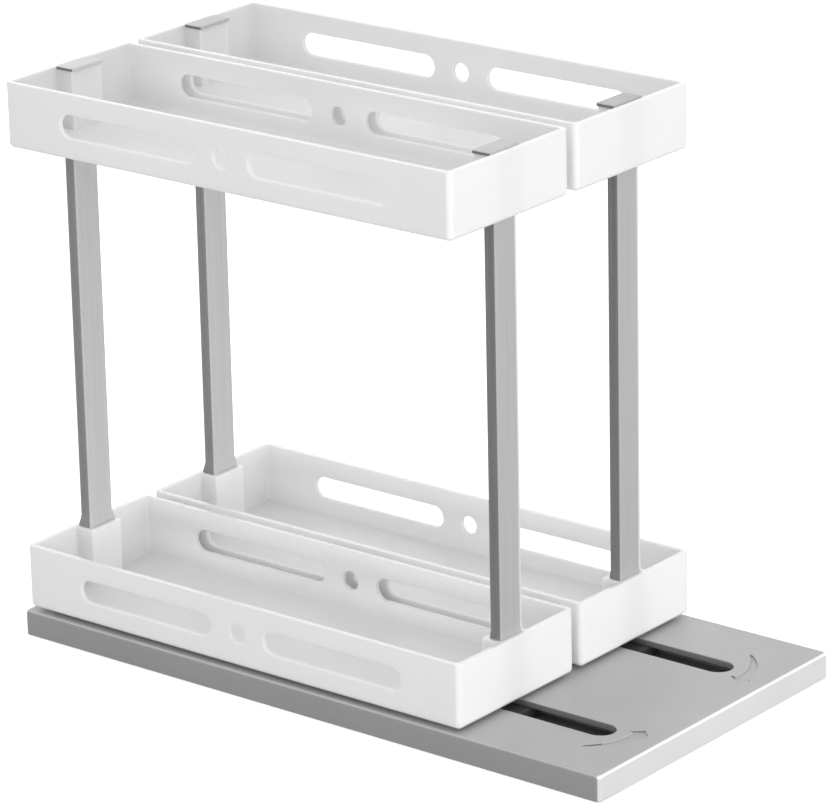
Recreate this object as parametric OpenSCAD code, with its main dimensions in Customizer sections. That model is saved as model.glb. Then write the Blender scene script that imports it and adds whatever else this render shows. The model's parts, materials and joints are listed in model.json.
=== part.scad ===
// Pull-out spice rack.
// Two narrow racks stand side by side on one low base. Each rack is two open trays on a pair of
// flat posts. A pivot pin under the front of each rack runs in a slot in the base, so the rack
// pulls forward and then swings outward.
// X runs across the racks, the pull-out front faces -Y, and the base stands on Z = 0.

/* [Racks] */
// Width of a tray
tray_w = 68.6; // [56:0.1:90]
// Length of a tray, front to back
tray_l = 209; // [160:1:260]
// Height of a tray
tray_h = 25.3; // [24:0.1:40]
// Thickness of the tray walls
tray_wall = 2; // [1.6:0.1:2.6]
// Thickness of the tray floors
tray_floor = 2; // [1.6:0.1:2.6]
// Outer radius of a tray's upright corners
tray_corner_r = 2.2; // [1.2:0.1:4]
// Inner radius of a tray's upright corners
tray_inner_r = 1; // [0.6:0.1:3]
// Radius of a tray's rounded lower edge
tray_foot_r = 2; // [0.8:0.1:3]
// Fillet between a tray's floor and walls
tray_fillet = 1.5; // [0.5:0.1:3]
// Height from the lower tray to the upper tray
tier_pitch = 183.2; // [120:0.1:240]
// Gap between the two racks
rack_gap = 4.5; // [3:0.1:8]

/* [Wall pattern] */
// Height of the long slots
slot_h = 8.8; // [5:0.1:10]
// Distance from a tray's end to the nearest slot end
slot_end_web = 27; // [20:0.5:40]
// Distance from a tray's middle to the nearest slot end
slot_mid_web = 12.8; // [8:0.1:20]
// Diameter of the round hole in the middle of a wall
wall_hole_d = 7.2; // [4:0.1:10]
// Height of the pattern's centre line above a tray's underside
pattern_z = 13; // [10:0.1:16]

/* [Posts] */
// Width of a post, across the rack
post_w = 12.9; // [10:0.1:16]
// Thickness of a post, front to back
post_t = 5.2; // [4.4:0.1:6]
// Radius of a post's upright edges
post_edge_r = 1; // [0.4:0.1:1.6]
// Width of the groove in a post's narrow faces
groove_w = 1.6; // [0.8:0.1:2]
// Depth of the groove in a post's narrow faces
groove_depth = 0.3; // [0.2:0.1:0.8]
// Height of the flared collar at a post's foot
collar_h = 4.4; // [2:0.1:8]
// Height of the collar's upright lower edge
collar_lip = 0.8; // [0.4:0.1:1.6]
// How far the collar stands out across the rack
collar_flare_x = 0.8; // [0.4:0.1:1.3]
// How far the collar stands out front and back
collar_flare_y = 0.7; // [0.3:0.1:1.2]
// Depth of the lower tray's socket
lower_socket = 18; // [12:0.5:18]
// Depth of the upper tray's socket
upper_socket = 16; // [10:0.5:17]
// Wall of the sockets in front of or behind a post
boss_wall = 2.6; // [2:0.1:4]
// Wall of the sockets beside a post
boss_side_wall = 1.8; // [1.4:0.1:3]
// Web between the upper socket and the screw head
socket_web = 2.5; // [1.5:0.1:3]

/* [Caps] */
// Thickness of a post cap's plate
cap_t = 1.2; // [0.8:0.1:2]
// How far a cap stands above the rim
cap_proud = 0.5; // [0.2:0.1:0.8]
// How far a cap's plate overhangs its boss
cap_overhang = 0.5; // [0.2:0.1:1]
// Length of the spigot under a cap
cap_spigot = 2.6; // [1:0.1:2.8]

/* [Base] */
// Length of bare base in front of the trays
front_ledge = 62.6; // [50:0.1:90]
// Distance from the trays' back to the base's back
rear_margin = 2.4; // [1:0.1:20]
// Distance from a tray's side to the base's side
side_margin = 0.9; // [0.5:0.1:10]
// Height of the base's top face above its skirt's lower edge
base_h = 10; // [9.6:0.1:16]
// Thickness of the base's skirt
base_wall = 2.5; // [2:0.1:4]
// Thickness of the base's top
base_top = 2.5; // [2:0.1:3]
// Radius of the base's upright corners
base_corner_r = 2; // [1.6:0.1:8]
// Rounding of the base's upper edge
base_edge_r = 1.2; // [0.5:0.1:2]
// Thickness of the plate that closes the base from below
underplate_t = 1.6; // [1.2:0.1:2]
// How far the plate is set up inside the skirt
underplate_recess = 1.4; // [1.3:0.1:2]
// Height of the floor pads below the skirt
pad_proud = 0.5; // [0.3:0.1:2]
// Diameter of the floor pads
pad_d = 12; // [8:0.5:16]
// Distance of the floor pads from the base's sides
pad_inset = 20; // [18:0.5:30]

/* [Slide and pivot] */
// Width of the guide slots in the base
guide_slot_w = 11.3; // [10:0.1:13]
// Distance from the base's front to the centre of a slot's round end
guide_slot_inset = 25.2; // [22:0.1:34]
// Distance from a tray's front to its pivot
pivot_setback = 13; // [12.6:0.1:13.4]
// Diameter of the pivot pin
pivot_d = 6; // [5:0.1:6.4]
// Diameter of the pivot pin's head
pivot_head_d = 10; // [8:0.1:11]
// Thickness of the pivot pin's head
pivot_head_t = 1.3; // [1:0.1:1.5]
// Length of the pivot pin held in the tray
pivot_grip = 6.6; // [5:0.1:8]
// Outer diameter of the hub under a tray
hub_d = 10; // [9:0.1:10.4]
// Width of a slide shoe
shoe_w = 24; // [20:0.5:30]
// Length of a slide shoe
shoe_l = 30; // [24:0.5:32]
// Gap between the base and the trays
tray_lift = 1.6; // [1.2:0.1:4]
// Diameter of the glide pads under a tray
glide_d = 10; // [6:0.5:14]
// Distance of the glide pads from a tray's walls
glide_inset = 18; // [12:0.5:24]

/* [Direction arrows] */
// Depth of the engraved arrows
arrow_depth = 0.7; // [0.2:0.1:1]
// Outer radius of an arrow's bow
arrow_outer_r = 29; // [28.5:0.1:29.5]
// Inner radius of an arrow's bow
arrow_inner_r = 24.3; // [24:0.1:24.8]

/* [Screws] */
// Diameter of all the screws
screw_d = 2.6; // [2:0.1:3]
// Diameter of the screw heads
screw_head_d = 5; // [4:0.1:5]
// Height of the screw heads
screw_head_h = 1.2; // [0.8:0.1:1.3]
// Length of the screws that hold the posts
post_screw_l = 12; // [9:0.5:16]
// Length of the screws that hold the base together
base_screw_l = 5.5; // [4:0.1:5.8]
// Distance of the corner screws from the base's sides
base_screw_inset = 8; // [7:0.1:10]

/* [Clearances] */
// Gap round a part that moves in another
run_gap = 0.2; // [0.1:0.05:0.4]
// Gap round a part that is fixed in another
fit_gap = 0.1; // [0.05:0.05:0.2]
// Gap round a pin that turns in its bore
pin_gap = 0.05; // [0.02:0.01:0.1]

/* [Hidden] */

// Fineness of bores and pins, and of the corners inside a hull
$fn = 64;
hull_fn = 24;
// Least corner radius inside a hull, and the overrun of a cut
min_r = 0.4;
cut = 1;

// Plan of the base and the racks
rack_x = (tray_w + rack_gap) / 2;
base_w = 2 * tray_w + rack_gap + 2 * side_margin;
base_d = front_ledge + tray_l + rear_margin;
tray_front = -base_d / 2 + front_ledge;
tray_back = tray_front + tray_l;
tray_mid = (tray_front + tray_back) / 2;
pivot_y = tray_front + pivot_setback;
slot_end_y = -base_d / 2 + guide_slot_inset;

// Heights, from the floor up
base_z = pad_proud;
base_top_z = base_z + base_h;
roof_z = base_top_z - base_top;
underplate_z = base_z + underplate_recess;
channel_z = underplate_z + underplate_t;
lower_z = base_top_z + tray_lift;
upper_z = lower_z + tier_pitch;
glide_z = base_top_z + run_gap;

// Posts and their sockets
post_inset = tray_wall + 3 * fit_gap + post_t / 2;
post_foot_z = lower_z + tray_h - lower_socket;
post_head_z = upper_z + upper_socket;
boss_w = post_w + 2 * boss_side_wall;
boss_reach = post_inset + post_t / 2 + boss_wall;
boss_top_z = upper_z + tray_h + cap_proud - cap_t;
// Depth of the screw heads in the lower tray's underside
head_recess = 3.3;

// Slide shoe
shoe_z = channel_z + run_gap;
shoe_top_z = roof_z - run_gap;
pin_head_z = shoe_z + run_gap;
pin_top_z = lower_z + pivot_grip;
rail_t = 2;
rail_x = shoe_w / 2 + run_gap;
channel_front = slot_end_y - shoe_l / 2 - 2 * run_gap;
channel_back = pivot_y + shoe_l / 2 + 2 * run_gap;

// Outline with round corners, centred
module rounded_rect(w, d, r) {
    square([w - 2 * r, d], center = true);
    square([w, d - 2 * r], center = true);
    for (x = [-1, 1], y = [-1, 1])
        translate([x * (w / 2 - r), y * (d / 2 - r)])
            circle(r);
}

// Upright block whose lower edge is rounded all round
module round_footed_block(w, d, h, r, foot_r) {
    steps = 3;
    hull()
        for (i = [0:steps]) {
            a = 90 * i / steps;
            inset = foot_r * (1 - sin(a));
            start = foot_r * (1 - cos(a));
            translate([0, 0, start])
                linear_extrude(h - start)
                    rounded_rect(w - 2 * inset, d - 2 * inset, max(r - inset, min_r), $fn = hull_fn);
        }
}

// Slot with round ends along Y, from y0 to y1, cut through from z0 to z1
module round_slot(width, y0, y1, z0, z1) {
    translate([0, 0, z0])
        linear_extrude(z1 - z0) {
            translate([-width / 2, y0])
                square([width, y1 - y0]);
            for (y = [y0, y1])
                translate([0, y])
                    circle(d = width);
        }
}

// Puts a piece on the left rack (side -1) or the right rack (side 1)
module on_rack(side) {
    translate([side * rack_x, 0, 0])
        children();
}

// Puts a piece at the front post (end -1) or the rear post (end 1)
module at_post(end) {
    y = end < 0 ? tray_front + post_inset : tray_back - post_inset;
    translate([0, y, 0])
        children();
}

// Screw with its head below the seat, along +Z from the seat
module screw(length) {
    cylinder(d = screw_d, h = length);
    translate([0, 0, -screw_head_h])
        cylinder(d = screw_head_d, h = screw_head_h);
}

// Places of the six screws that close the base
function base_screw_points() = [
    for (x = [-1, 1], y = [-1, 1])
        [x * (base_w / 2 - base_screw_inset), y * (base_d / 2 - base_screw_inset)],
    [0, slot_end_y],
    [0, tray_mid]
];

// Outside of the base, with its upper edge rounded
module base_form() {
    steps = 3;
    hull()
        for (i = [0:steps]) {
            a = 90 * i / steps;
            inset = base_edge_r * (1 - cos(a));
            linear_extrude(base_h - base_edge_r * (1 - sin(a)))
                rounded_rect(base_w - 2 * inset, base_d - 2 * inset, max(base_corner_r - inset, min_r),
                    $fn = hull_fn);
        }
}

// Rails and end stops that keep a shoe in line under the base's top
module channel_rails() {
    rail_h = roof_z - channel_z;
    for (x = [-rail_x - rail_t, rail_x])
        translate([x, channel_front - rail_t, channel_z])
            cube([rail_t, channel_back - channel_front + 2 * rail_t, rail_h]);
    for (y = [channel_front - rail_t, channel_back])
        translate([-rail_x - rail_t, y, channel_z])
            cube([2 * (rail_x + rail_t), rail_t, rail_h]);
}

// Ribs under the trays' rear, across and along the base
module base_ribs() {
    rib_t = 1.6;
    rib_h = 3;
    inner_w = base_w - 2 * base_wall;
    for (y = [tray_mid, (tray_mid + tray_back) / 2])
        translate([-inner_w / 2, y - rib_t / 2, roof_z - rib_h])
            cube([inner_w, rib_t, rib_h]);
    for (x = [-rack_x, rack_x])
        translate([x - rib_t / 2, channel_back, roof_z - rib_h])
            cube([rib_t, base_d / 2 - base_wall - channel_back, rib_h]);
}

// Bowed arrow in front of a slot, tail outward and head towards the middle
module arrow_outline() {
    outer_centre = [-8, 12.1];
    inner_centre = [-2.3, 13.4];
    tail_y = -3.3;
    head_x = -4.6;
    tip = [-8.3, -13.6];
    near_barb = [head_x, -17.6];
    far_barb = [head_x, -9];
    intersection() {
        difference() {
            translate(outer_centre)
                circle(arrow_outer_r);
            translate(inner_centre)
                circle(arrow_inner_r);
        }
        translate([head_x, tail_y - arrow_outer_r])
            square([2 * arrow_outer_r, arrow_outer_r]);
    }
    polygon([far_barb, tip, near_barb]);
}

// Shell of the base: top and skirt in one, with the guide slots and the arrows
module base_shell() {
    screw_wall = 2.2;
    boss_d = screw_d + 2 * screw_wall;
    pilot_top = underplate_z + base_screw_l + fit_gap;
    color([0.74, 0.75, 0.76])
        difference() {
            union() {
                difference() {
                    translate([0, 0, base_z])
                        base_form();
                    translate([0, 0, base_z - cut])
                        linear_extrude(roof_z - base_z + cut)
                            rounded_rect(base_w - 2 * base_wall, base_d - 2 * base_wall,
                                max(base_corner_r - base_wall, min_r));
                }
                for (x = [-rack_x, rack_x])
                    translate([x, 0, 0])
                        channel_rails();
                base_ribs();
                for (p = base_screw_points())
                    translate([p[0], p[1], channel_z])
                        cylinder(d = boss_d, h = roof_z - channel_z);
            }
            for (x = [-rack_x, rack_x])
                translate([x, 0, 0])
                    round_slot(guide_slot_w, slot_end_y, pivot_y, roof_z - cut, base_top_z + cut);
            for (side = [-1, 1])
                translate([side * rack_x, slot_end_y, base_top_z - arrow_depth])
                    linear_extrude(arrow_depth + cut)
                        scale([side, 1])
                            arrow_outline();
            for (p = base_screw_points())
                translate([p[0], p[1], channel_z - cut])
                    cylinder(d = screw_d + pin_gap, h = pilot_top - channel_z + cut);
        }
}

// Plate that closes the base from below and carries the shoes
module base_underplate() {
    gap = 2 * fit_gap;
    color([0.16, 0.16, 0.17])
        difference() {
            translate([0, 0, underplate_z])
                linear_extrude(underplate_t)
                    rounded_rect(base_w - 2 * (base_wall + gap), base_d - 2 * (base_wall + gap),
                        max(base_corner_r - base_wall, min_r));
            for (p = base_screw_points())
                translate([p[0], p[1], underplate_z - cut])
                    cylinder(d = screw_d + 2 * fit_gap, h = underplate_t + 2 * cut);
        }
}

module base_screws() {
    color([0.6, 0.6, 0.62])
        for (p = base_screw_points())
            translate([p[0], p[1], underplate_z])
                screw(base_screw_l);
}

// Non-slip pads on the underplate
module base_pads() {
    color([0.12, 0.12, 0.12])
        for (x = [-1, 1], y = [-1, 1])
            translate([x * (base_w / 2 - pad_inset), y * (base_d / 2 - pad_inset), 0])
                cylinder(d = pad_d, h = underplate_z);
}

// Shoe that slides under the base's top, with a round guide standing in the slot
module slide_shoe() {
    corner_r = 3;
    guide_top = base_top_z - run_gap;
    color([0.2, 0.2, 0.21])
        translate([0, pivot_y, 0])
            difference() {
                union() {
                    translate([0, 0, shoe_z])
                        linear_extrude(shoe_top_z - shoe_z)
                            rounded_rect(shoe_w, shoe_l, corner_r);
                    translate([0, 0, shoe_z])
                        cylinder(d = guide_slot_w - 2 * run_gap, h = guide_top - shoe_z);
                }
                translate([0, 0, shoe_z - cut])
                    cylinder(d = pivot_d + 2 * pin_gap, h = guide_top - shoe_z + 2 * cut);
                translate([0, 0, shoe_z - cut])
                    cylinder(d = pivot_head_d + 2 * run_gap, h = cut + pivot_head_t + 2 * run_gap);
            }
}

// Headed pin that goes up through the shoe and is pressed into the tray's hub
module pivot_pin() {
    color([0.7, 0.71, 0.73])
        translate([0, pivot_y, 0]) {
            translate([0, 0, pin_head_z])
                cylinder(d = pivot_head_d, h = pivot_head_t);
            translate([0, 0, pin_head_z])
                cylinder(d = pivot_d, h = pin_top_z - pin_head_z);
        }
}

// Long slot, round hole and long slot through both side walls
module wall_pattern(z) {
    slot_l = tray_l / 2 - slot_end_web - slot_mid_web;
    straight = slot_l - slot_h;
    middle = slot_mid_web + slot_l / 2;
    depth = tray_w + 2 * cut;
    translate([-depth / 2, tray_mid, z + pattern_z])
        rotate([90, 0, 90])
            linear_extrude(depth) {
                circle(d = wall_hole_d);
                for (m = [-middle, middle]) {
                    translate([m, 0])
                        square([straight, slot_h], center = true);
                    for (e = [-straight / 2, straight / 2])
                        translate([m + e, 0])
                            circle(d = slot_h);
                }
            }
}

// Open tray with round lower edges, a filleted floor and pierced side walls
module tray_shell(z) {
    difference() {
        translate([0, tray_mid, z])
            round_footed_block(tray_w, tray_l, tray_h, tray_corner_r, tray_foot_r);
        translate([0, tray_mid, z + tray_floor])
            round_footed_block(tray_w - 2 * tray_wall, tray_l - 2 * tray_wall, tray_h,
                tray_inner_r, tray_fillet);
        wall_pattern(z);
    }
}

// Solid bosses for the posts at both ends of a tray, from z0 to z1
module post_bosses(z0, z1) {
    edge_r = 0.8;
    for (end = [-1, 1]) {
        y = end < 0 ? tray_front + tray_wall / 2 : tray_back - boss_reach;
        translate([0, y + (boss_reach - tray_wall / 2) / 2, z0])
            linear_extrude(z1 - z0)
                rounded_rect(boss_w, boss_reach - tray_wall / 2, edge_r);
    }
}

// Cut for a post in a boss, from z0 to z1
module post_pocket(z0, z1) {
    translate([0, 0, z0])
        linear_extrude(z1 - z0)
            rounded_rect(post_w + 2 * fit_gap, post_t + 2 * fit_gap, post_edge_r + fit_gap);
}

// Lower tray, with deep sockets for the posts and a hub for the pivot pin
module lower_tray() {
    hub_z = base_top_z + run_gap;
    hub_wall = (hub_d - pivot_d) / 2;
    color([0.95, 0.95, 0.95])
        difference() {
            union() {
                tray_shell(lower_z);
                post_bosses(lower_z + tray_floor / 2, lower_z + tray_h);
                translate([0, pivot_y, hub_z])
                    cylinder(d = hub_d, h = pin_top_z - hub_z + hub_wall);
            }
            for (end = [-1, 1])
                at_post(end) {
                    post_pocket(post_foot_z, lower_z + tray_h + cut);
                    translate([0, 0, lower_z - cut])
                        cylinder(d = screw_head_d + 2 * fit_gap, h = head_recess + cut);
                    translate([0, 0, lower_z])
                        cylinder(d = screw_d + 2 * fit_gap, h = post_foot_z - lower_z + cut);
                }
            translate([0, pivot_y, hub_z - cut])
                cylinder(d = pivot_d + pin_gap, h = pin_top_z + pin_gap - hub_z + cut);
        }
}

// Upper tray, carried on the posts' ends and screwed down from above
module upper_tray() {
    web_z = post_head_z + socket_web;
    color([0.95, 0.95, 0.95])
        difference() {
            union() {
                tray_shell(upper_z);
                post_bosses(upper_z + tray_floor / 2, boss_top_z);
            }
            for (end = [-1, 1])
                at_post(end) {
                    post_pocket(upper_z - cut, post_head_z);
                    post_pocket(web_z, boss_top_z + cut);
                    translate([0, 0, post_head_z - cut])
                        cylinder(d = screw_d + 2 * fit_gap, h = socket_web + 2 * cut);
                }
        }
}

// Flat post with grooved narrow faces and a flared collar that sits on the lower boss
module post(end) {
    collar_z = lower_z + tray_h;
    pilot = post_screw_l;
    color([0.66, 0.67, 0.68])
        at_post(end)
            difference() {
                union() {
                    translate([0, 0, post_foot_z])
                        linear_extrude(post_head_z - post_foot_z)
                            rounded_rect(post_w, post_t, post_edge_r);
                    hull() {
                        translate([0, 0, collar_z])
                            linear_extrude(collar_lip)
                                rounded_rect(post_w + 2 * collar_flare_x, post_t + 2 * collar_flare_y,
                                    post_edge_r, $fn = hull_fn);
                        translate([0, 0, collar_z])
                            linear_extrude(collar_h)
                                rounded_rect(post_w, post_t, post_edge_r, $fn = hull_fn);
                    }
                }
                for (side = [-1, 1])
                    translate([side * post_w / 2, 0, collar_z + collar_h])
                        linear_extrude(post_head_z - collar_z)
                            square([2 * groove_depth, groove_w], center = true);
                translate([0, 0, post_foot_z - cut])
                    cylinder(d = screw_d + pin_gap, h = pilot + cut);
                translate([0, 0, post_head_z - pilot])
                    cylinder(d = screw_d + pin_gap, h = pilot + cut);
            }
}

// Cap that closes the top of an upper boss, with a spigot in the pocket
module post_cap(end) {
    plate_w = boss_w + 2 * cap_overhang;
    plate_near = tray_wall + fit_gap;
    plate_far = boss_reach + cap_overhang;
    plate_d = plate_far - plate_near;
    plate_y = end < 0 ? tray_front + plate_near : tray_back - plate_far;
    corner_r = 1;
    color([0.72, 0.73, 0.74]) {
        translate([0, plate_y + plate_d / 2, boss_top_z])
            linear_extrude(cap_t)
                rounded_rect(plate_w, plate_d, corner_r);
        at_post(end)
            translate([0, 0, boss_top_z - cap_spigot])
                linear_extrude(cap_spigot + cap_t / 2)
                    rounded_rect(post_w, post_t, post_edge_r);
    }
}

// Screws up through the lower tray's sockets into the posts
module lower_screws() {
    color([0.6, 0.6, 0.62])
        for (end = [-1, 1])
            at_post(end)
                translate([0, 0, lower_z + head_recess])
                    screw(post_screw_l);
}

// Screws down through the upper tray's sockets into the posts
module upper_screws() {
    color([0.6, 0.6, 0.62])
        for (end = [-1, 1])
            at_post(end)
                translate([0, 0, post_head_z + socket_web])
                    rotate([180, 0, 0])
                        screw(post_screw_l);
}

// Glide pads under the lower tray, just clear of the base's top
module glides() {
    front_inset = 2.5 * glide_inset;
    color([0.93, 0.93, 0.92])
        for (x = [-1, 1], y = [tray_front + front_inset, tray_back - glide_inset])
            translate([x * (tray_w / 2 - glide_inset), y, glide_z])
                cylinder(d = glide_d, h = lower_z - glide_z);
}

base_shell();
base_underplate();
base_screws();
base_pads();
on_rack(-1) slide_shoe();  // left_slide_shoe
on_rack(-1) pivot_pin();  // left_pivot_pin
on_rack(-1) lower_tray();  // left_lower_tray
on_rack(-1) upper_tray();  // left_upper_tray
on_rack(-1) post(-1);  // left_front_post
on_rack(-1) post(1);  // left_rear_post
on_rack(-1) post_cap(-1);  // left_front_cap
on_rack(-1) post_cap(1);  // left_rear_cap
on_rack(-1) lower_screws();  // left_lower_screws
on_rack(-1) upper_screws();  // left_upper_screws
on_rack(-1) glides();  // left_glides
on_rack(1) slide_shoe();  // right_slide_shoe
on_rack(1) pivot_pin();  // right_pivot_pin
on_rack(1) lower_tray();  // right_lower_tray
on_rack(1) upper_tray();  // right_upper_tray
on_rack(1) post(-1);  // right_front_post
on_rack(1) post(1);  // right_rear_post
on_rack(1) post_cap(-1);  // right_front_cap
on_rack(1) post_cap(1);  // right_rear_cap
on_rack(1) lower_screws();  // right_lower_screws
on_rack(1) upper_screws();  // right_upper_screws
on_rack(1) glides();  // right_glides
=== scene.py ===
"""Looks of a pull-out spice rack: two white two-tier racks on a low grey base."""

import json
import math

import bmesh
import bpy
from mathutils import Matrix, Vector

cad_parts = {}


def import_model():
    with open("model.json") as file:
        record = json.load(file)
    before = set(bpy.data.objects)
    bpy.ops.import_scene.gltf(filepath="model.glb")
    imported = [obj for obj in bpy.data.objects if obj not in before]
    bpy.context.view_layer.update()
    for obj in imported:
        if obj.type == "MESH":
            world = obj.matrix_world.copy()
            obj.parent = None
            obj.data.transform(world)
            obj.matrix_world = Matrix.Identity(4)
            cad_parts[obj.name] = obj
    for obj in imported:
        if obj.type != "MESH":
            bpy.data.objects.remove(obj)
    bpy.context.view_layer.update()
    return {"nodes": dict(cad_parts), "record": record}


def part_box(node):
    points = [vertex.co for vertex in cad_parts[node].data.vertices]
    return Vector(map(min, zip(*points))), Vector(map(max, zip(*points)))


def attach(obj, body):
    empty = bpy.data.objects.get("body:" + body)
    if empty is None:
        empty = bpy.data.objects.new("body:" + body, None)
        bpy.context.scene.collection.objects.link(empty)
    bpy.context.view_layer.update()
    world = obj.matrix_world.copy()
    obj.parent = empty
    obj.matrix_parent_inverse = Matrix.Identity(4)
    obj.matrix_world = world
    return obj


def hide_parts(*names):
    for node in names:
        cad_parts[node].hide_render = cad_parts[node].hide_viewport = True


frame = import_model()
nodes = frame["nodes"]

MM = 0.001


def new_object(name, data):
    """An object of a mesh, lamp or camera, linked to the scene."""
    obj = bpy.data.objects.new(name, data)
    bpy.context.scene.collection.objects.link(obj)
    return obj


# Materials

CLOUD_SIZE = 40 * MM
PATCH_SIZE = 12 * MM
GRAIN_SIZE = 0.35 * MM
GRAIN_DEPTH = 0.02 * MM
STREAK_RATIO = 60
ROUGH_RANGE = 0.04
STEEL_ROUGH_RANGE = 0.08
SCRATCH_SIZE = 0.6 * MM
STEEL_PATCH_SIZE = 5 * MM


def new_material(name):
    """A new material with its node tree and its Principled shader."""
    material = bpy.data.materials.new(name)
    material.use_nodes = True
    tree = material.node_tree
    shader = tree.nodes["Principled BSDF"]
    return material, tree, shader


def object_coords(tree):
    """Coordinates of the model's frame, which move with the piece."""
    return tree.nodes.new("ShaderNodeTexCoord").outputs["Object"]


def noise(tree, coords, size, detail=3.0, roughness=0.5):
    """Noise whose grains are about size metres across."""
    node = tree.nodes.new("ShaderNodeTexNoise")
    node.inputs["Scale"].default_value = 1 / size
    node.inputs["Detail"].default_value = detail
    node.inputs["Roughness"].default_value = roughness
    tree.links.new(coords, node.inputs["Vector"])
    return node.outputs["Fac"]


def ramp(tree, value, low, high, low_out, high_out):
    """Value mapped from low..high to low_out..high_out."""
    node = tree.nodes.new("ShaderNodeMapRange")
    node.inputs["From Min"].default_value = low
    node.inputs["From Max"].default_value = high
    node.inputs["To Min"].default_value = low_out
    node.inputs["To Max"].default_value = high_out
    tree.links.new(value, node.inputs["Value"])
    return node.outputs["Result"]


def mix_colour(tree, factor, first, second):
    """Mix of two colours, given as three numbers each."""
    node = tree.nodes.new("ShaderNodeMix")
    node.data_type = "RGBA"
    node.inputs["A"].default_value = (*first, 1)
    node.inputs["B"].default_value = (*second, 1)
    tree.links.new(factor, node.inputs["Factor"])
    return node.outputs["Result"]


def grey(value):
    return (value, value, value)


def stretched(tree, coords):
    """Coordinates whose noise runs in streaks along Z, STREAK_RATIO times as long as wide."""
    node = tree.nodes.new("ShaderNodeMapping")
    node.inputs["Scale"].default_value = (1, 1, 1 / STREAK_RATIO)
    tree.links.new(coords, node.inputs["Vector"])
    return node.outputs["Vector"]


def moulded_plastic(name, colour, spread, rough, soft=0.0, streak=0.0, coat=0.0, reach=3 * MM):
    """Moulded plastic: broad cloudy tone, patches in the gloss and a fine grain in the surface.

    spread is how much the tone varies, soft the share of light that scatters inside and reach how far,
    streak the width of drawn streaks along Z, coat the weight of a smooth skin."""
    material, tree, shader = new_material(name)
    coords = object_coords(tree)
    if streak:
        cloud = noise(tree, stretched(tree, coords), streak, 3.0, 0.6)
    else:
        cloud = noise(tree, coords, CLOUD_SIZE, 2.0)
    low = tuple(c * (1 - spread) for c in colour)
    high = tuple(min(c * (1 + spread), 1.0) for c in colour)
    factor = ramp(tree, cloud, 0.35, 0.65, 0.0, 1.0)
    tree.links.new(mix_colour(tree, factor, low, high), shader.inputs["Base Color"])
    fine = noise(tree, coords, GRAIN_SIZE, 2.0)
    patches = noise(tree, coords, PATCH_SIZE)
    gloss = ramp(tree, patches, 0.3, 0.7, rough - ROUGH_RANGE, rough + ROUGH_RANGE)
    tree.links.new(gloss, shader.inputs["Roughness"])
    bump = tree.nodes.new("ShaderNodeBump")
    bump.inputs["Strength"].default_value = 0.35
    bump.inputs["Distance"].default_value = GRAIN_DEPTH
    tree.links.new(fine, bump.inputs["Height"])
    tree.links.new(bump.outputs["Normal"], shader.inputs["Normal"])
    if soft:
        shader.inputs["Subsurface Weight"].default_value = soft
        shader.inputs["Subsurface Radius"].default_value = (1.0, 1.0, 1.0)
        shader.inputs["Subsurface Scale"].default_value = reach
    if coat:
        shader.inputs["Coat Weight"].default_value = coat
        shader.inputs["Coat Roughness"].default_value = 0.2
    return material


def metal(name, colour, rough):
    """Turned or plated steel with fine scratches."""
    material, tree, shader = new_material(name)
    coords = object_coords(tree)
    scratch = noise(tree, coords, SCRATCH_SIZE, 4.0, 0.7)
    gloss = ramp(tree, scratch, 0.3, 0.7, rough - STEEL_ROUGH_RANGE, rough + STEEL_ROUGH_RANGE)
    tree.links.new(gloss, shader.inputs["Roughness"])
    tone = ramp(tree, noise(tree, coords, STEEL_PATCH_SIZE), 0.3, 0.7, 0.0, 1.0)
    low = tuple(c * 0.9 for c in colour)
    tree.links.new(mix_colour(tree, tone, low, colour), shader.inputs["Base Color"])
    shader.inputs["Metallic"].default_value = 1.0
    return material


# Whites of the trays, one white plastic in painted tones, in order: lower walls painted lighter to offset
# the shade of the upper trays;
# upper walls, upper ends inside and out, and lower outer sides in a painted half shade; painted shade on
# the lower inner ends and the upper outer sides;
# a painted highlight on rims and rounded edges; painted light on the hole faces; painted light on the gap
# sides, lower outer ends and bosses.
white_plastic = moulded_plastic("white_plastic", grey(0.93), 0.006, 0.38, soft=0.6)
white_painted_half_shade = moulded_plastic("white_painted_half_shade", grey(0.885), 0.006, 0.38, soft=0.6)
white_painted_shade = moulded_plastic("white_painted_shade", grey(0.865), 0.006, 0.38, soft=0.6)
white_painted_highlight = moulded_plastic("white_painted_highlight", grey(0.97), 0.004, 0.3, soft=0.6, coat=0.6)
white_hole_painted_light = moulded_plastic("white_hole_painted_light", grey(0.985), 0.004, 0.38, soft=0.9, reach=9 * MM)
white_painted_light = moulded_plastic("white_painted_light", grey(0.985), 0.004, 0.38, soft=0.6)
# Greys of the base, one grey plastic in painted tones: top, long sides in painted shade, ends in painted
# light, long upper edges in a slight painted highlight, end upper edges in a painted highlight, slot faces
# in painted shade.
grey_plastic = moulded_plastic("grey_plastic", grey(0.50), 0.02, 0.42)
grey_side_painted_shade = moulded_plastic("grey_side_painted_shade", grey(0.33), 0.02, 0.42)
grey_end_painted_light = moulded_plastic("grey_end_painted_light", grey(0.73), 0.02, 0.42)
grey_lip_painted_highlight = moulded_plastic("grey_lip_painted_highlight", grey(0.53), 0.02, 0.34)
grey_edge_painted_highlight = moulded_plastic("grey_edge_painted_highlight", grey(0.95), 0.02, 0.34)
grey_slot_painted_shade = moulded_plastic("grey_slot_painted_shade", grey(0.24), 0.02, 0.5)
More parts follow.
